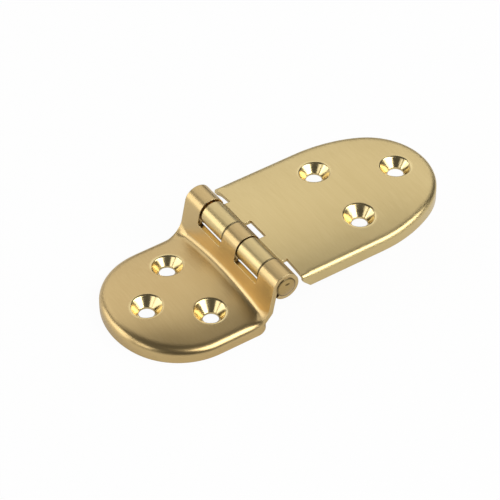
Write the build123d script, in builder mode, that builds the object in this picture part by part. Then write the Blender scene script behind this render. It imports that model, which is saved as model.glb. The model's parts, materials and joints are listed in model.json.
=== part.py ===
import os
from math import acos, asin, atan2, cos, degrees, radians, sin, sqrt, tan

from build123d import *

os.makedirs("parts", exist_ok=True)

# Driving dimensions, in millimetres and degrees

leaf_width = 42.0
leaf_offset = 9.5          # step between the two mounting faces
pin_height = 13.0          # pin axis above the short leaf's mounting face
sheet = 1.35               # thickness of the short leaf's brass
long_sheet = 1.05          # thickness of the long leaf's brass
pin_diameter = 5.0
pin_clearance = 0.05       # radial, between the pin and the rolled knuckles

short_reach = 40.0         # pin axis to the tip of the short leaf
short_end = 19.7           # length of its rounded end
short_tip_radius = 24.0
short_height = 5.45        # mounting face to the top of the crown
short_crown = 110.0        # radius of the crown across the leaf
short_crown_end = 15.0     # length over which the crown also falls to the tip
short_shoulder = 2.3       # radius of the rim's shoulder
short_wall_start = 6.3     # pin axis to the rim's cut end
short_wall_cut = 3.2       # height of that end above the mounting face
end_cut_rise = 2.5         # the riser's inner edge starts to turn this much higher
short_wall_corner = 2.0    # radius of the cut end's lower corner

long_reach = 59.0
long_end = 28.0
long_tip_radius = 18.6
long_height = 5.35
long_crown = 145.0
long_crown_end = 16.0
long_shoulder = 1.25
long_notch = 5.5           # pin axis to the edge of the plate between its knuckles
long_wall_clip = 2.2       # bevel on the lower corner of the rim's cut end
long_neck_radius = 0.8     # hollow between plate and knuckle
roll_join = 18.0           # angle round the pin where the plate turns into a knuckle
roll_seam = 3.5            # angle below the plate where that knuckle ends

shoulder_inside = 0.3      # least inner radius of a pressed rim

riser_lean = 11.5          # riser from upright
foot_radius = 1.8          # hollow bend at the riser's foot
foot_flare = 5.5           # the same bend where it runs out at the leaf's sides
flare_length = 5.3         # length along the pin over which it opens
runout_radius = 6.0        # the shoulder lifts away from the plate on this radius
arris_bite = 0.35          # what is left of the shoulder along the riser's edge
window_drop = 2.5          # pin axis down to the lower edge of the riser's windows
window_corner = 0.5

middle_knuckle = 6.4       # length of the knuckle between the two windows
inner_knuckle = 9.8        # length of each knuckle of the long leaf
knuckle_gap = 0.35         # running gap at the ends of a knuckle
far_gap = 0.7              # wider gap before the far end knuckle
seam = 0.35                # slit where a rolled knuckle closes

hole_diameter = 4.3        # for a No. 8 countersunk wood screw
head_diameter = 8.6
head_angle = 82.0
hole_land = 0.6            # straight wall below the cone
rim_round = 0.7            # soft lip of each pressed countersink
dimple_wall = 1.0          # sheet left round the hole on the underside
dimple_bury = 0.75         # the dimple's outside starts this far down in the sheet
hole_spacing = 21.2        # across each leaf
short_pair = 16.5          # pin axis to the pair of holes
short_tip_hole = 10.5      # tip to the single hole
long_pair = 30.5
long_tip_hole = 9.2

pin_head_diameter = 5.7
pin_head_edge = 0.15       # straight rim of the head
pin_head_height = 0.65

# Worked out from the dimensions above

half = leaf_width / 2
overall = short_reach + long_reach
pin_x = short_reach - overall / 2
pin_radius = pin_diameter / 2
bore_radius = pin_radius + pin_clearance
barrel_radius = bore_radius + sheet
long_barrel_radius = bore_radius + long_sheet
lean = radians(riser_lean)
cone_drop = (head_diameter - hole_diameter) / 2 / tan(radians(head_angle / 2))
pin_axis = Vector(pin_x, 0, pin_height)
spare = 1.0                # how far a cut reaches past what it cuts
tiny = 0.01                # for picking edges by their place
sunk = 0.06                # how far the foot's gussets run into plate and riser
flare_steps = (-0.1, 0.17, 0.4, 0.59, 0.74, 0.85, 0.94, 1.1)

short_base = Plane(origin=(pin_x, 0, 0), x_dir=(-1, 0, 0), z_dir=(0, 0, 1))
long_base = Plane(origin=(pin_x, 0, leaf_offset), x_dir=(1, 0, 0), z_dir=(0, 0, 1))
side = Plane(origin=pin_axis, x_dir=(1, 0, 0), z_dir=(0, -1, 0))

bend_width = half + foot_radius + spare
bend_end = short_wall_start + foot_radius + spare
knuckle_1 = middle_knuckle / 2
knuckle_2 = knuckle_1 + knuckle_gap
knuckle_3 = knuckle_2 + inner_knuckle
knuckle_4 = knuckle_3 + knuckle_gap
knuckle_far = knuckle_3 + far_gap

side_slope = asin(half / short_crown)
turn_level = short_height - short_crown * (1 - cos(side_slope)) - pin_height
turn_level = turn_level - short_shoulder * tan(radians(45) - side_slope / 2)
runout_level = turn_level + runout_radius
runout_start = (barrel_radius - arris_bite + runout_radius - runout_level * sin(lean)) / cos(lean)


def crowned_form(base, reach, end, tip_radius, height, crown, crown_end, shoulder, inset=0.0):
    """Solid under a crowned leaf, from the pin axis to its rounded tip, or its inset copy for the hollow."""
    wide = half - inset
    tip = tip_radius - inset
    length = end - inset
    straight = reach - end
    side_radius = (length**2 + wide**2 - 2 * length * tip) / (2 * (wide - tip))
    turn = degrees(atan2((side_radius - wide) / (side_radius - tip), (length - tip) / (side_radius - tip)))
    top = height - inset
    arc_radius = crown - inset
    start = -spare if inset else 0.0
    low = -spare if inset else 0.0
    fall_start = reach - crown_end
    section = Plane(origin=base.from_local_coords((fall_start, 0, 0)), x_dir=base.y_dir, z_dir=base.x_dir)

    with BuildPart() as dome:
        with BuildSketch(section) as across:
            with BuildLine():
                reach_out = half + spare
                edge = top - arc_radius + sqrt(arc_radius**2 - reach_out**2)
                ThreePointArc((-reach_out, edge), (0, top), (reach_out, edge))
                Polyline((reach_out, edge), (reach_out, low), (-reach_out, low), (-reach_out, edge))
            make_face()
        extrude(amount=start - fall_start)
        fall_axis = Axis(base.from_local_coords((fall_start, 0, top - arc_radius)), base.y_dir)
        fall_angle = degrees(asin((crown_end + spare) / (arc_radius - top + low)))
        revolve(across.sketch, axis=fall_axis, revolution_arc=fall_angle)

    with BuildPart() as form:
        with BuildSketch(base.offset(low)):
            with BuildLine():
                flank = Line((start, wide), (straight, wide))
                turn_in = JernArc(flank @ 1, flank % 1, side_radius, turn - 90)
                nose = JernArc(turn_in @ 1, turn_in % 1, tip, -2 * turn)
                turn_out = JernArc(nose @ 1, nose % 1, side_radius, turn - 90)
                Polyline(turn_out @ 1, (start, -wide), (start, wide))
            make_face()
        extrude(amount=height + spare)
        add(dome.part, mode=Mode.INTERSECT)
        rim = form.edges().filter_by(
            lambda e: e.bounding_box().size.X > tiny
            and e.bounding_box().min.Z > base.origin.Z + spare
            and abs(e.bounding_box().center().Y) > tiny
        )
        fillet(rim, shoulder)
    return form.part


def screw_holes(base, reach, height, crown, crown_end, pair, tip_hole):
    """Planes at the plate's top over a leaf's three holes."""
    drop = crown - sqrt(crown**2 - (hole_spacing / 2) ** 2)
    tip_drop = crown - sqrt(crown**2 - max(crown_end - tip_hole, 0) ** 2)
    places = [(pair, hole_spacing / 2, height - drop), (pair, -hole_spacing / 2, height - drop)]
    places.append((reach - tip_hole, 0, height - tip_drop))
    return [Plane(origin=base.from_local_coords(place), x_dir=base.x_dir, z_dir=base.z_dir) for place in places]


def dimple(top, grow):
    """Cone and neck of one pressed countersink, or with grow its outside under the sheet."""
    neck = hole_diameter / 2 + grow
    with BuildPart() as cone:
        with BuildSketch(Plane(origin=top.origin, x_dir=top.y_dir, z_dir=top.x_dir)):
            with BuildLine():
                slope = tan(radians(head_angle / 2))
                foot = -cone_drop - hole_land
                rise = -dimple_bury if grow else spare
                wide = neck + (cone_drop + rise) * slope
                Polyline((0, foot), (neck, foot), (neck, -cone_drop), (wide, rise), (0, rise), (0, foot))
            make_face()
        revolve(axis=Axis(top.origin, top.z_dir))
    return cone.part


def on_side(angle, radius):
    """Point in the side view, at an angle in degrees round the pin axis."""
    return Vector(radius * cos(radians(angle)), radius * sin(radians(angle)))


def block(x_from, x_to, y_from, y_to, z_from, z_to):
    """Box between limits measured from the middle of the pin axis."""
    with BuildPart(Plane(origin=pin_axis)) as limits:
        with Locations(((x_from + x_to) / 2, (y_from + y_to) / 2, (z_from + z_to) / 2)):
            Box(x_to - x_from, y_to - y_from, z_to - z_from)
    return limits.part


def within(form, limits):
    """The part of a form inside some limits."""
    with BuildPart() as common:
        add(form)
        add(limits, mode=Mode.INTERSECT)
    return common.part


def crown_block(wide, inset, low, length):
    """Solid under the short leaf's plate beside the riser, without the rim's shoulder."""
    arc_radius = short_crown - inset
    top = short_height - inset
    edge = top - arc_radius + sqrt(arc_radius**2 - wide**2)
    with BuildPart() as under:
        with BuildSketch(Plane(origin=short_base.origin, x_dir=short_base.y_dir, z_dir=short_base.x_dir)):
            with BuildLine():
                ThreePointArc((-wide, edge), (0, top), (wide, edge))
                Polyline((wide, edge), (wide, low), (-wide, low), (-wide, edge))
            make_face()
        extrude(amount=length)
    return under.part


def bend(form, radius, base_drop, bend_radius):
    """A form with the riser's block, tangent to a circle round the pin, and the hollow between them rounded."""
    tangent = on_side(180 - riser_lean, radius)
    top = on_side(180 - riser_lean, barrel_radius).Y
    head = Vector(tangent.X + (top - tangent.Y) * tan(lean), top)
    foot = Vector(tangent.X - (tangent.Y + base_drop) * tan(lean), -base_drop)
    normal = Vector(-cos(lean), 0, sin(lean))
    with BuildPart() as joined:
        add(form)
        with BuildSketch(side):
            with BuildLine():
                Polyline(head, foot, (barrel_radius, -base_drop), (barrel_radius, top), head)
            make_face()
        extrude(amount=bend_width, both=True)
        root = joined.edges().filter_by(
            lambda e: abs((e.center() - pin_axis).dot(normal) - radius) < tiny
            and abs(e.center().Y) < half + tiny
            and 0 < e.center().Z < pin_height
        )
        fillet(root, bend_radius)
    return joined.part


def rolled(outer, y_from, y_to, start_angle, sweep):
    """Rolled sheet round the pin between two places along it."""
    with BuildPart() as roll:
        with BuildSketch(side.offset(-y_to)):
            with BuildLine():
                outside = CenterArc((0, 0), outer, start_angle, sweep)
                inside = CenterArc((0, 0), bore_radius, start_angle, sweep)
                Line(outside @ 0, inside @ 0)
                Line(outside @ 1, inside @ 1)
            make_face()
        extrude(amount=y_to - y_from)
    return roll.part


def foot_gusset(end):
    """Filling at one side of the riser's foot, whose hollow opens from the foot radius to the flare."""
    start = half - flare_length
    tangent = on_side(180 - riser_lean, barrel_radius)
    with BuildPart() as gusset:
        for share in flare_steps:
            y = start + share * flare_length
            radius = foot_radius - sunk + (foot_flare - foot_radius) * max(share, 0) ** 2
            level = short_height - short_crown + sqrt(short_crown**2 - y**2) - pin_height
            corner = Vector(tangent.X + (level - tangent.Y) * tan(lean), level)
            span = radius * tan(radians(45 - riser_lean / 2))
            low = corner + Vector(-span, -sunk)
            high = corner + Vector(span * sin(lean) + sunk, span * cos(lean))
            middle = corner + Vector(-span + sunk, radius - sunk)
            with BuildSketch(side.offset(-end * y)):
                with BuildLine():
                    ThreePointArc(low, middle + on_side(-45 - riser_lean / 2, radius), high)
                    Polyline(high, (corner.X + sheet / 2, corner.Y), (corner.X, corner.Y - sheet / 2), low)
                make_face()
        loft()
    return gusset.part


def runout(end):
    """Cutter for the shoulder of one side as it leaves the plate, up the riser with the arris that is left."""
    middle = Vector(-runout_start, runout_level)
    flank = side.offset(-end * half)
    turns = [middle + on_side(angle, runout_radius) for angle in (-90, -45, -riser_lean)]
    turns.append(on_side(180 - riser_lean, barrel_radius - arris_bite))
    turns.append(turns[0] - Vector(spare, 0))
    start, half_way, leave, top, before = [flank.from_local_coords(point) for point in turns]
    with BuildPart() as cutter:
        with BuildLine():
            Line(before, start)
            ThreePointArc(start, half_way, leave)
            Line(leave, top)
        with BuildSketch(Plane(origin=before, x_dir=(0, end, 0), z_dir=(1, 0, 0))):
            with BuildLine():
                CenterArc((-short_shoulder, 0), short_shoulder, 0, end * 90)
                tall = end * (short_shoulder + spare)
                Polyline(
                    (-short_shoulder, end * short_shoulder),
                    (-short_shoulder, tall),
                    (spare, tall),
                    (spare, 0),
                    (0, 0),
                )
            make_face()
        sweep()
    return cutter.part


def curl_arris(end):
    """Cutter that carries the arris of the riser's edge on round an end knuckle."""
    inner = barrel_radius - arris_bite
    outer = barrel_radius + seam
    swing = asin((outer - inner) / short_shoulder)
    flank = Plane(
        origin=pin_axis + Vector(0, end * half, 0),
        x_dir=(-cos(lean), 0, sin(lean)),
        z_dir=(-end * sin(lean), 0, -end * cos(lean)),
    )
    with BuildPart() as cutter:
        with BuildSketch(flank):
            with BuildLine():
                CenterArc((inner, -short_shoulder), short_shoulder, 90, -degrees(swing))
                inset = short_shoulder * (1 - cos(swing))
                Polyline((outer, -inset), (outer, spare), (inner, spare), (inner, 0))
            make_face()
        revolve(axis=Axis(pin_axis, (0, 1, 0)), revolution_arc=180 - riser_lean - short_seam)
    return cutter.part


def end_cut(y_from, y_to):
    """Notch that frees the riser's edge from the end of the short leaf's rim."""
    wall_top = short_wall_cut - pin_height
    turn = wall_top + end_cut_rise
    tangent = on_side(180 - riser_lean, bore_radius)
    inside = tangent.X + (turn - tangent.Y) * tan(lean)
    with BuildPart() as notch:
        with BuildSketch(side.offset(-y_to)):
            with BuildLine():
                floor = -pin_height - spare
                Polyline(
                    (inside, turn),
                    (-short_wall_start, wall_top),
                    (-short_wall_start, floor),
                    (0, floor),
                    (0, turn),
                    (inside, turn),
                )
            make_face()
        extrude(amount=y_to - y_from)
    return notch.part


def lip(leaf, place):
    """The edge of one countersink in the plate's top."""
    return leaf.edges().filter_by(
        lambda e: abs(place.to_local_coords(e @ 0.5).Z) < spare
        and abs(place.to_local_coords(e @ 0.5).cross(Vector(0, 0, 1)).length - head_diameter / 2) < rim_round
    )


short_sizes = (short_reach, short_end, short_tip_radius, short_height, short_crown, short_crown_end)
long_sizes = (long_reach, long_end, long_tip_radius, long_height, long_crown, long_crown_end)
short_outer = crowned_form(short_base, *short_sizes, short_shoulder)
short_inner = crowned_form(short_base, *short_sizes, short_shoulder - sheet, inset=sheet)
long_outer = crowned_form(long_base, *long_sizes, long_shoulder)
long_inner = crowned_form(long_base, *long_sizes, shoulder_inside, inset=long_sheet)
short_crowning = (short_height, short_crown, short_crown_end)
long_crowning = (long_height, long_crown, long_crown_end)
short_places = screw_holes(short_base, short_reach, *short_crowning, short_pair, short_tip_hole)
long_places = screw_holes(long_base, long_reach, *long_crowning, long_pair, long_tip_hole)
inner_crown = crown_block(bend_width, sheet, -spare, bend_end)
inner_bend = bend(inner_crown, bore_radius, pin_height + spare, foot_radius + sheet)
past = barrel_radius + spare
short_seam = 180 - riser_lean + degrees(acos((bore_radius - seam) / barrel_radius)) - 360
knuckles = [(knuckle_far, half), (-knuckle_1, knuckle_1), (-half, -knuckle_4)]
windows = [(knuckle_1, knuckle_far), (-knuckle_4, -knuckle_1)]
notches = [(-knuckle_2, knuckle_2), (knuckle_3, half + spare), (-half - spare, -knuckle_3)]
barrels = [(knuckle_2, knuckle_3), (-knuckle_3, -knuckle_2)]

# Short leaf: crowned shell, riser and its three rolled knuckles

with BuildPart() as foot:
    foot_crown = crown_block(half, 0, 0, runout_start)
    add(bend(foot_crown, barrel_radius, pin_height, foot_radius))
    for end in (1, -1):
        add(foot_gusset(end))
    add(block(-runout_start, past, -half, half, -pin_height, past), mode=Mode.INTERSECT)
    for end in (1, -1):
        add(runout(end), mode=Mode.SUBTRACT)

with BuildPart() as short_leaf:
    add(within(short_outer, block(-short_reach - spare, -runout_start, -half, half, -pin_height, 0)))
    add(foot.part)
    add(short_inner, mode=Mode.SUBTRACT)
    deep = -pin_height - 2 * spare
    add(within(inner_bend, block(-short_reach, past, sheet - half, half - sheet, deep, past)), mode=Mode.SUBTRACT)
    add(within(inner_bend, block(-short_wall_start, past, -bend_width, bend_width, deep, past)), mode=Mode.SUBTRACT)
    for y_from, y_to in [(half - sheet, half + spare), (-half - spare, sheet - half)]:
        add(end_cut(y_from, y_to), mode=Mode.SUBTRACT)
    for y_from, y_to in knuckles:
        add(rolled(barrel_radius, y_from, y_to, short_seam, 180 - riser_lean - short_seam))
    for end in (1, -1):
        add(curl_arris(end), mode=Mode.SUBTRACT)
    for y_from, y_to in windows:
        add(block(-2 * past, past, y_from, y_to, -window_drop, past), mode=Mode.SUBTRACT)
    corners = short_leaf.edges().filter_by(Axis.X).filter_by_position(
        Axis.Z, pin_height - window_drop - tiny, pin_height - window_drop + tiny
    )
    fillet(corners, window_corner)
    wall_ends = short_leaf.edges().filter_by(Axis.Y).filter_by(
        lambda e: abs(e.center().X - pin_x + short_wall_start) < tiny and e.center().Z < tiny
    )
    fillet(wall_ends, short_wall_corner)
    for place in short_places:
        add(dimple(place, dimple_wall))
    for place in short_places:
        add(dimple(place, 0), mode=Mode.SUBTRACT)
        fillet(lip(short_leaf, place), rim_round)
short_leaf.part.label = "short_leaf"
export_step(short_leaf.part, "parts/short_leaf.step")

# Long leaf: crowned shell and its two rolled knuckles

with BuildPart() as long_leaf:
    add(long_outer)
    add(long_inner, mode=Mode.SUBTRACT)
    for y_from, y_to in notches:
        add(block(-past, long_notch, y_from, y_to, -pin_height, past), mode=Mode.SUBTRACT)
    wall_ends = long_leaf.edges().filter_by(Axis.Y).filter_by(
        lambda e: abs(e.center().X - pin_x - long_notch) < tiny and e.center().Z < leaf_offset + tiny
    )
    chamfer(wall_ends, long_wall_clip)
    for y_from, y_to in barrels:
        add(rolled(long_barrel_radius, y_from, y_to, roll_join, 360 - roll_join - roll_seam))
    necks = long_leaf.edges().filter_by(
        lambda e: abs(e.bounding_box().size.Y - inner_knuckle) < tiny
        and bore_radius < e.center().X - pin_x < long_notch
        and long_barrel_radius / 4 < e.center().Z - pin_height < long_barrel_radius
    )
    fillet(necks, long_neck_radius)
    with BuildSketch(side):
        Circle(bore_radius)
    extrude(amount=half, both=True, mode=Mode.SUBTRACT)
    for place in long_places:
        add(dimple(place, dimple_wall))
    for place in long_places:
        add(dimple(place, 0), mode=Mode.SUBTRACT)
        fillet(lip(long_leaf, place), rim_round)
long_leaf.part.label = "long_leaf"
export_step(long_leaf.part, "parts/long_leaf.step")

# Hinge pin: straight shank with a domed, peened head at each end

with BuildPart() as hinge_pin:
    with BuildSketch(Plane(origin=pin_axis, x_dir=(0, 1, 0), z_dir=(1, 0, 0))):
        with BuildLine():
            rim = half + pin_head_edge
            crest = half + pin_head_height
            head_radius = pin_head_diameter / 2
            Line((-crest, 0), (crest, 0))
            TangentArc((crest, 0), (rim, head_radius), tangent=(0, 1))
            Polyline(
                (rim, head_radius),
                (half, head_radius),
                (half, pin_radius),
                (-half, pin_radius),
                (-half, head_radius),
                (-rim, head_radius),
            )
            TangentArc((-crest, 0), (-rim, head_radius), tangent=(0, 1))
        make_face()
    revolve(axis=Axis(pin_axis, (0, 1, 0)))
hinge_pin.part.label = "hinge_pin"
export_step(hinge_pin.part, "parts/hinge_pin.step")
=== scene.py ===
import bpy
import json
import math
from mathutils import Matrix, Vector

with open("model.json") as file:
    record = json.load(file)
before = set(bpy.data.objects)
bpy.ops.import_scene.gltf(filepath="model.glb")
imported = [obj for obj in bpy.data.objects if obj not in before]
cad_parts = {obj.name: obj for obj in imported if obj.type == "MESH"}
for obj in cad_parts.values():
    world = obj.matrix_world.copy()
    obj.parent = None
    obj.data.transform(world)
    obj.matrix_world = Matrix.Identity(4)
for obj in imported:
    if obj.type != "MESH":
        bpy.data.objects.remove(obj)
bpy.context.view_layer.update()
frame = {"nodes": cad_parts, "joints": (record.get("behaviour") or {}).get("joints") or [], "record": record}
scene = bpy.context.scene
scene.view_settings.view_transform = "Standard"
mm = 0.001
mounts = {mount["name"]: mount for mount in frame["record"]["mounts"]}
pinPlace = Vector(frame["joints"][0]["pos_m"])      # middle of the pin


def hexLinear(text):
    # sRGB hex to linear RGBA
    values = [int(text[i:i + 2], 16) / 255 for i in (1, 3, 5)]
    return [v / 12.92 if v <= 0.04045 else ((v + 0.055) / 1.055) ** 2.4 for v in values] + [1.0]


def addNode(tree, kind, settings=None, links=None):
    # one node with its settings, input values and incoming links
    node = tree.nodes.new(kind)
    for key, value in (settings or {}).items():
        if isinstance(key, str) and hasattr(node, key):
            setattr(node, key, value)
        else:
            node.inputs[key].default_value = value
    for key, source in (links or {}).items():
        tree.links.new(source, node.inputs[key])
    return node


# Camera: stands to the near left, looks down 43 degrees, long lens
cameraSet = {
    "turn": 33.2146, "tilt": 42.8343, "roll": -0.6557,      # degrees
    "ahead": 738.94, "right": -2.3918, "down": -2.3582,     # mm, from the camera to the pin's middle
    "focalPixels": 2825.92, "framePixels": 500,
    "sensor": 36,                                           # mm
    "clip": (0.01, 50),                                     # m
}


def makeCamera(s):
    turn, tilt, roll = (math.radians(s[k]) for k in ("turn", "tilt", "roll"))
    right = Vector((math.cos(turn), -math.sin(turn), 0))
    ahead = Vector((math.sin(turn) * math.cos(tilt), math.cos(turn) * math.cos(tilt), -math.sin(tilt)))
    down = -right.cross(ahead)
    axisX = math.cos(roll) * right - math.sin(roll) * down
    axisDown = math.sin(roll) * right + math.cos(roll) * down
    toPin = axisX * s["right"] + axisDown * s["down"] + ahead * s["ahead"]
    data = bpy.data.cameras.new("camera")
    data.sensor_fit = "HORIZONTAL"
    data.sensor_width = s["sensor"]
    data.lens = s["focalPixels"] / s["framePixels"] * s["sensor"]
    data.clip_start, data.clip_end = s["clip"]
    camera = bpy.data.objects.new("camera", data)
    scene.collection.objects.link(camera)
    columns = (axisX, -axisDown, -ahead, pinPlace - toPin * mm)
    camera.matrix_world = Matrix([[c[i] for c in columns] for i in range(3)] + [[0, 0, 0, 1]])
    scene.camera = camera


makeCamera(cameraSet)
print("camera set")


# Satin brass: cut-brushed sheet under clear lacquer, lines along the pin, so light smears across them;
# screw seats cut bright, arrises softened by the brush and given a painted highlight, painted shade in the
# knuckle joints
finishSet = {
    "lineWidth": 0.32,                          # mm, drawn coarser than real scratches so that they show
    "lineLength": 20.0,                         # mm
    "lineDepth": 0.0012,                        # mm
    "lineDetail": 2.0, "lineGrain": 0.55,       # the noise's finer layers
    "cloudWidth": 8.33, "cloudLength": 16.67,   # mm, slow changes of tone
    "lineTone": 0.6, "cloudTone": 0.5,          # how far each takes the colour from light to deep
    "roughSpread": (-0.012, 0.03),              # along the lines
    "arris": 0.22, "arrisSamples": 6,           # mm, radius left on sheared edges
    "paintedHighlight": "#F0DFB0", "paintedHighlightShare": 0.55,       # painted highlight on arrises and creases
    "paintedHighlightTurn": (0.97, 0.8),                    # cosine of the turn where the painted highlight starts, and where it is full
    "cone": "#E2CD98", "coneRough": 0.2,
    "coneEdge": (4.2, 4.8),                     # mm, brush lines stop at the countersinks
    # painted shade: a dark colour laid where the knuckles meet and round the pin head; the pin's dark mark
    # uses it too
    "shadeAndMark": "#3A2D14", "shadeAndMarkShare": 0.8, "shadeAndMarkFade": 0.2,       # the fade in mm
    "barrel": 3.95, "barrelFade": 0.1,          # mm, reach of the knuckles from the pin axis
    "lip": 6.0, "lipFade": 1.0,                 # mm, the soft rim stays clear of the holes' own lips
    "rimFade": 0.6, "rimSamples": 16,           # mm, height over which the soft rim comes in
}

# Lengths in mm. Joints give y and half width of the painted shade. The drawn rim turns over as softly as
# shoulder says, above that height and clear of the pin by that much. On the pin, painted shade lies in a
# ring round the head, and the same dark colour makes a mark, placed from the axis and flattened by
# markShape.
brassSet = {
    "short_leaf": {
        "light": "#D3BA87", "deep": "#BFA36F", "rough": 0.29, "smear": 0.4,
        "screws": ("short_pair", "short_tip_hole"), "joints": [(3.2, 0.1), (-13.7, 0.1)],
        "shoulder": 2.2, "above": 2.0, "clear": 11.0,
    },
    "long_leaf": {
        "light": "#DBC692", "deep": "#C9B27C", "rough": 0.29, "smear": 0.4,
        "screws": ("long_pair", "long_tip_hole"), "joints": [(3.5, 0.28), (-13.4, 0.28)],
        "shoulder": 2.6, "above": 11.4, "clear": 7.0,
    },
    "hinge_pin": {
        "light": "#C8AE7A", "deep": "#A0844F", "rough": 0.22, "smear": 0.0,
        "ring": 2.35, "ringFade": 0.4, "mark": (0.1, 1.2), "markRadius": 0.6, "markShape": 2.6,
    },
}


def brushMarks(tree, place, finish):
    # fine lines along the pin and slow clouds of tone
    wide, along = (1 / (finish[key] * mm) for key in ("lineWidth", "lineLength"))
    lineSpace = addNode(tree, "ShaderNodeMapping", {"Scale": (wide, along, wide)}, {"Vector": place})
    lines = addNode(tree, "ShaderNodeTexNoise",
                    {"Scale": 1.0, "Detail": finish["lineDetail"], "Roughness": finish["lineGrain"]},
                    {"Vector": lineSpace.outputs["Vector"]})
    wide, along = (1 / (finish[key] * mm) for key in ("cloudWidth", "cloudLength"))
    cloudSpace = addNode(tree, "ShaderNodeMapping", {"Scale": (wide, along, wide)}, {"Vector": place})
    clouds = addNode(tree, "ShaderNodeTexNoise", {"Scale": 1.0}, {"Vector": cloudSpace.outputs["Vector"]})
    return lines.outputs["Fac"], clouds.outputs["Fac"]


def nearestHole(tree, place, pair, tip):
    # distance to the axis of the nearest of a leaf's three screw holes
    x = mounts[pair]["pos_m"][0]
    y = mounts[pair]["dims"]["spacing_y_mm"] / 2 * mm
    holes = [(x, y, 0), (x, -y, 0), (mounts[tip]["pos_m"][0], 0, 0)]
    flat = addNode(tree, "ShaderNodeVectorMath", {"operation": "MULTIPLY", 1: (1, 1, 0)}, {0: place})
    near = None
    for hole in holes:
        off = addNode(tree, "ShaderNodeVectorMath", {"operation": "DISTANCE", 1: hole},
                      {0: flat.outputs["Vector"]}).outputs["Value"]
        if near is not None:
            off = addNode(tree, "ShaderNodeMath", {"operation": "MINIMUM"},
                          {0: near, 1: off}).outputs["Value"]
        near = off
    return near


def jointShade(tree, along, reach, s, finish):
    # painted shade close to the joints between knuckles, and only on the knuckles
    shadeAndMark = None
    for y, half in s["joints"]:
        off = addNode(tree, "ShaderNodeMath", {"operation": "SUBTRACT", 1: y * mm}, {0: along})
        off = addNode(tree, "ShaderNodeMath", {"operation": "ABSOLUTE"}, {0: off.outputs["Value"]})
        off = addNode(tree, "ShaderNodeMapRange",
                      {"From Min": half * mm, "From Max": (half + finish["shadeAndMarkFade"]) * mm,
                       "To Min": finish["shadeAndMarkShare"], "To Max": 0.0},
                      {"Value": off.outputs["Value"]}).outputs["Result"]
        if shadeAndMark is not None:
            off = addNode(tree, "ShaderNodeMath", {"operation": "MAXIMUM"},
                          {0: shadeAndMark, 1: off}).outputs["Value"]
        shadeAndMark = off
    barrel = addNode(tree, "ShaderNodeMapRange",
                     {"From Min": finish["barrel"] * mm,
                      "From Max": (finish["barrel"] + finish["barrelFade"]) * mm,
                      "To Min": 1.0, "To Max": 0.0},
                     {"Value": reach})
    return addNode(tree, "ShaderNodeMath", {"operation": "MULTIPLY"},
                   {0: shadeAndMark, 1: barrel.outputs["Result"]}).outputs["Value"]


def headShadeAndMark(tree, endOn, reach, s, finish):
    # painted shade in a ring round the pin head, and a dark mark on the head
    ring = addNode(tree, "ShaderNodeMapRange",
                   {"From Min": s["ring"] * mm, "From Max": (s["ring"] + s["ringFade"]) * mm,
                    "To Max": finish["shadeAndMarkShare"]},
                   {"Value": reach})
    flatten = Vector((1, 0, s["markShape"]))
    middle = (pinPlace + Vector((s["mark"][0], 0, s["mark"][1])) * mm) * flatten
    off = addNode(tree, "ShaderNodeVectorMath", {"operation": "MULTIPLY", 1: flatten}, {0: endOn})
    off = addNode(tree, "ShaderNodeVectorMath", {"operation": "DISTANCE", 1: middle},
                  {0: off.outputs["Vector"]})
    mark = addNode(tree, "ShaderNodeMapRange",
                   {"From Min": s["markRadius"] * mm,
                    "From Max": (s["markRadius"] + finish["shadeAndMarkFade"]) * mm,
                    "To Min": finish["shadeAndMarkShare"], "To Max": 0.0},
                   {"Value": off.outputs["Value"]})
    return addNode(tree, "ShaderNodeMath", {"operation": "MAXIMUM"},
                   {0: ring.outputs["Result"], 1: mark.outputs["Result"]}).outputs["Value"]


def softRim(tree, height, near, reach, normal, s, finish):
    # normal that turns over softly at the rim, clear of the holes, of the knuckles and of the lower edge
    rim = addNode(tree, "ShaderNodeMapRange",
                  {"From Min": s["above"] * mm, "From Max": (s["above"] + finish["rimFade"]) * mm},
                  {"Value": height}).outputs["Result"]
    for value, start in ((near, finish["lip"]), (reach, s["clear"])):
        clear = addNode(tree, "ShaderNodeMapRange",
                        {"From Min": start * mm, "From Max": (start + finish["lipFade"]) * mm},
                        {"Value": value})
        rim = addNode(tree, "ShaderNodeMath", {"operation": "MULTIPLY"},
                      {0: rim, 1: clear.outputs["Result"]}).outputs["Value"]
    soft = addNode(tree, "ShaderNodeBevel", {"samples": finish["rimSamples"], "Radius": s["shoulder"] * mm})
    return addNode(tree, "ShaderNodeMix", {"data_type": "VECTOR"},
                   {0: rim, 4: normal, 5: soft.outputs["Normal"]}).outputs[1]


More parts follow.
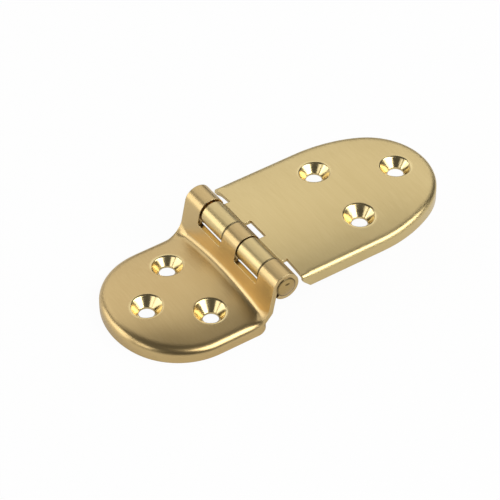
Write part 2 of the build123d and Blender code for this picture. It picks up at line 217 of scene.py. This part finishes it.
def satinBrass(name, s, finish):
    material = bpy.data.materials.new(name + "_satin_brass")
    material.use_nodes = True
    tree = material.node_tree
    tree.nodes.clear()
    place = addNode(tree, "ShaderNodeTexCoord").outputs["Object"]
    axes = addNode(tree, "ShaderNodeSeparateXYZ", None, {"Vector": place})
    endOn = addNode(tree, "ShaderNodeVectorMath", {"operation": "MULTIPLY", 1: (1, 0, 1)},
                    {0: place}).outputs["Vector"]
    reach = addNode(tree, "ShaderNodeVectorMath", {"operation": "DISTANCE", 1: pinPlace},
                    {0: endOn}).outputs["Value"]

    # brushed tone, roughness and height; Mix takes its factor at 0, vectors at 4 and 5, colours at 6 and 7
    lines, clouds = brushMarks(tree, place, finish)
    lowest, highest = (s["rough"] + spread for spread in finish["roughSpread"])
    rough = addNode(tree, "ShaderNodeMapRange", {"To Min": lowest, "To Max": highest},
                    {"Value": lines}).outputs["Result"]
    height = addNode(tree, "ShaderNodeMath", {"operation": "MULTIPLY", 1: finish["lineDepth"] * mm},
                     {0: lines}).outputs["Value"]
    tone = addNode(tree, "ShaderNodeMath", {"operation": "MULTIPLY", 1: finish["lineTone"]}, {0: lines})
    tone = addNode(tree, "ShaderNodeMath", {"operation": "MULTIPLY_ADD", 1: finish["cloudTone"]},
                   {0: clouds, 2: tone.outputs["Value"]})
    colour = addNode(tree, "ShaderNodeMix",
                     {"data_type": "RGBA", 6: hexLinear(s["light"]), 7: hexLinear(s["deep"])},
                     {0: tone.outputs["Value"]}).outputs[2]

    # countersinks: plate is 0 inside one and 1 outside
    if "screws" in s:
        near = nearestHole(tree, place, *s["screws"])
        inside, outside = finish["coneEdge"]
        plate = addNode(tree, "ShaderNodeMapRange", {"From Min": inside * mm, "From Max": outside * mm},
                        {"Value": near}).outputs["Result"]
        rough = addNode(tree, "ShaderNodeMix", {"data_type": "FLOAT", "A": finish["coneRough"]},
                        {"Factor": plate, "B": rough}).outputs["Result"]
        colour = addNode(tree, "ShaderNodeMix", {"data_type": "RGBA", 6: hexLinear(finish["cone"])},
                         {0: plate, 7: colour}).outputs[2]
        height = addNode(tree, "ShaderNodeMath", {"operation": "MULTIPLY"},
                         {0: height, 1: plate}).outputs["Value"]

    # painted shade in the joints and round the pin head, and the pin's dark mark
    if "joints" in s:
        shadeAndMark = jointShade(tree, axes.outputs["Y"], reach, s, finish)
    else:
        shadeAndMark = headShadeAndMark(tree, endOn, reach, s, finish)
    colour = addNode(tree, "ShaderNodeMix", {"data_type": "RGBA", 7: hexLinear(finish["shadeAndMark"])},
                     {0: shadeAndMark, 6: colour}).outputs[2]

    # arrises and creases, given a painted highlight where the rounded normal leaves the face's own
    normal = addNode(tree, "ShaderNodeBevel",
                     {"samples": finish["arrisSamples"], "Radius": finish["arris"] * mm}).outputs["Normal"]
    face = addNode(tree, "ShaderNodeNewGeometry").outputs["True Normal"]
    turn = addNode(tree, "ShaderNodeVectorMath", {"operation": "DOT_PRODUCT"}, {0: normal, 1: face})
    start, full = finish["paintedHighlightTurn"]
    paintedHighlight = addNode(tree, "ShaderNodeMapRange",
                   {"From Min": start, "From Max": full, "To Max": finish["paintedHighlightShare"]},
                   {"Value": turn.outputs["Value"]})
    # painted highlight: a pale colour laid along arrises and creases
    colour = addNode(tree, "ShaderNodeMix", {"data_type": "RGBA", 7: hexLinear(finish["paintedHighlight"])},
                     {0: paintedHighlight.outputs["Result"], 6: colour}).outputs[2]
    if "shoulder" in s:
        normal = softRim(tree, axes.outputs["Z"], near, reach, normal, s, finish)

    bump = addNode(tree, "ShaderNodeBump", {"Strength": 1.0, "Distance": 1.0},
                   {"Height": height, "Normal": normal})
    around = addNode(tree, "ShaderNodeTangent", {"direction_type": "RADIAL", "axis": "Y"})
    shader = addNode(tree, "ShaderNodeBsdfPrincipled", {"Metallic": 1.0, "Anisotropic": s["smear"]},
                     {"Base Color": colour, "Roughness": rough, "Normal": bump.outputs["Normal"],
                      "Tangent": around.outputs["Tangent"]})
    addNode(tree, "ShaderNodeOutputMaterial", None, {"Surface": shader.outputs["BSDF"]})
    return material


for nodeName, node in frame["nodes"].items():
    brass = satinBrass(nodeName, brassSet[nodeName], finishSet)
    node.data.materials.clear()
    node.data.materials.append(brass)
print("brass set")


# White paper sweep: matte, plain white to the camera, and less so in the metal, which shows its shadow
floorSet = {
    "half": 3.0,            # m
    "drop": 0.02,           # mm, below the short leaf's rim
    "colour": "#F4F4F2",
    "glow": 0.96,           # share of plain white that the camera sees
    "mirrorGlow": 0.4,      # and that the metal sees
}


def makeFloor(s):
    half = s["half"]
    low = -s["drop"] * mm
    mesh = bpy.data.meshes.new("floor")
    corners = [(-half, -half, low), (half, -half, low), (half, half, low), (-half, half, low)]
    mesh.from_pydata(corners, [], [(0, 1, 2, 3)])
    floor = bpy.data.objects.new("floor", mesh)
    scene.collection.objects.link(floor)
    paper = bpy.data.materials.new("white_paper_sweep")
    paper.use_nodes = True
    tree = paper.node_tree
    tree.nodes.clear()
    matte = addNode(tree, "ShaderNodeBsdfDiffuse", {"Color": hexLinear(s["colour"])})
    white = addNode(tree, "ShaderNodeEmission", {"Color": (1, 1, 1, 1), "Strength": 1.0})
    path = addNode(tree, "ShaderNodeLightPath")
    seen = addNode(tree, "ShaderNodeMath", {"operation": "MAXIMUM"},
                   {0: path.outputs["Is Camera Ray"], 1: path.outputs["Is Transmission Ray"]})
    seen = addNode(tree, "ShaderNodeMath", {"operation": "MULTIPLY", 1: s["glow"]},
                   {0: seen.outputs["Value"]})
    mirrored = addNode(tree, "ShaderNodeMath", {"operation": "MULTIPLY", 1: s["mirrorGlow"]},
                       {0: path.outputs["Is Glossy Ray"]})
    share = addNode(tree, "ShaderNodeMath", {"operation": "MAXIMUM"},
                    {0: seen.outputs["Value"], 1: mirrored.outputs["Value"]})
    both = addNode(tree, "ShaderNodeMixShader", None,
                   {0: share.outputs["Value"], 1: matte.outputs["BSDF"], 2: white.outputs["Emission"]})
    addNode(tree, "ShaderNodeOutputMaterial", None, {"Surface": both.outputs["Shader"]})
    mesh.materials.append(paper)


makeFloor(floorSet)
print("floor set")


# Studio: dim grey room, panels behind and overhead, low strips behind and at the left, a card above those,
# and softboxes at both sides of the camera; places and sizes in m, level is brightness whatever the size
lightSet = {
    "room": ("#565656", 1.0),
    "lamps": {
        "backPanel": {"at": (0.33, 0.71, 0.61), "size": (1.5, 0.71), "level": 1.0},
        "backLeft": {"at": (-0.20, 0.62, 0.82), "size": (0.42, 0.26), "level": 0.4},
        "topPanel": {"at": (0.50, 0.16, 0.85), "size": (0.5, 0.35), "level": 0.2},
        "lowBack": {"at": (-0.05, 1.0, 0.17), "size": (0.8, 0.30), "level": 0.55},
        "lowStrip": {"at": (-0.76, 0.58, 0.25), "size": (0.9, 0.54), "level": 1.9},
        "leftCard": {"at": (-0.70, 0.43, 0.56), "size": (0.30, 0.28), "level": 2.5},
        "rightBox": {"at": (0.43, -0.62, 0.68), "size": (1.0, 0.62), "level": 4.4},
        "leftBox": {"at": (-0.93, -0.10, 0.45), "size": (0.4, 0.5), "level": 1.8},
    },
}


def makeLights(s):
    world = bpy.data.worlds.new("grey_room")
    scene.world = world
    world.use_nodes = True
    tree = world.node_tree
    tree.nodes.clear()
    colour, strength = s["room"]
    room = addNode(tree, "ShaderNodeBackground", {"Color": hexLinear(colour), "Strength": strength})
    addNode(tree, "ShaderNodeOutputWorld", None, {"Surface": room.outputs["Background"]})
    for name, lamp in s["lamps"].items():
        data = bpy.data.lights.new(name, "AREA")
        data.shape = "RECTANGLE"
        data.size, data.size_y = lamp["size"]
        data.energy = lamp["level"] * math.pi * data.size * data.size_y
        light = bpy.data.objects.new(name, data)
        scene.collection.objects.link(light)
        place = Vector(lamp["at"])
        aim = (-place).to_track_quat("-Z", "Y").to_matrix().to_4x4()    # at the origin
        light.matrix_world = Matrix.Translation(place) @ aim


makeLights(lightSet)
print("studio set")
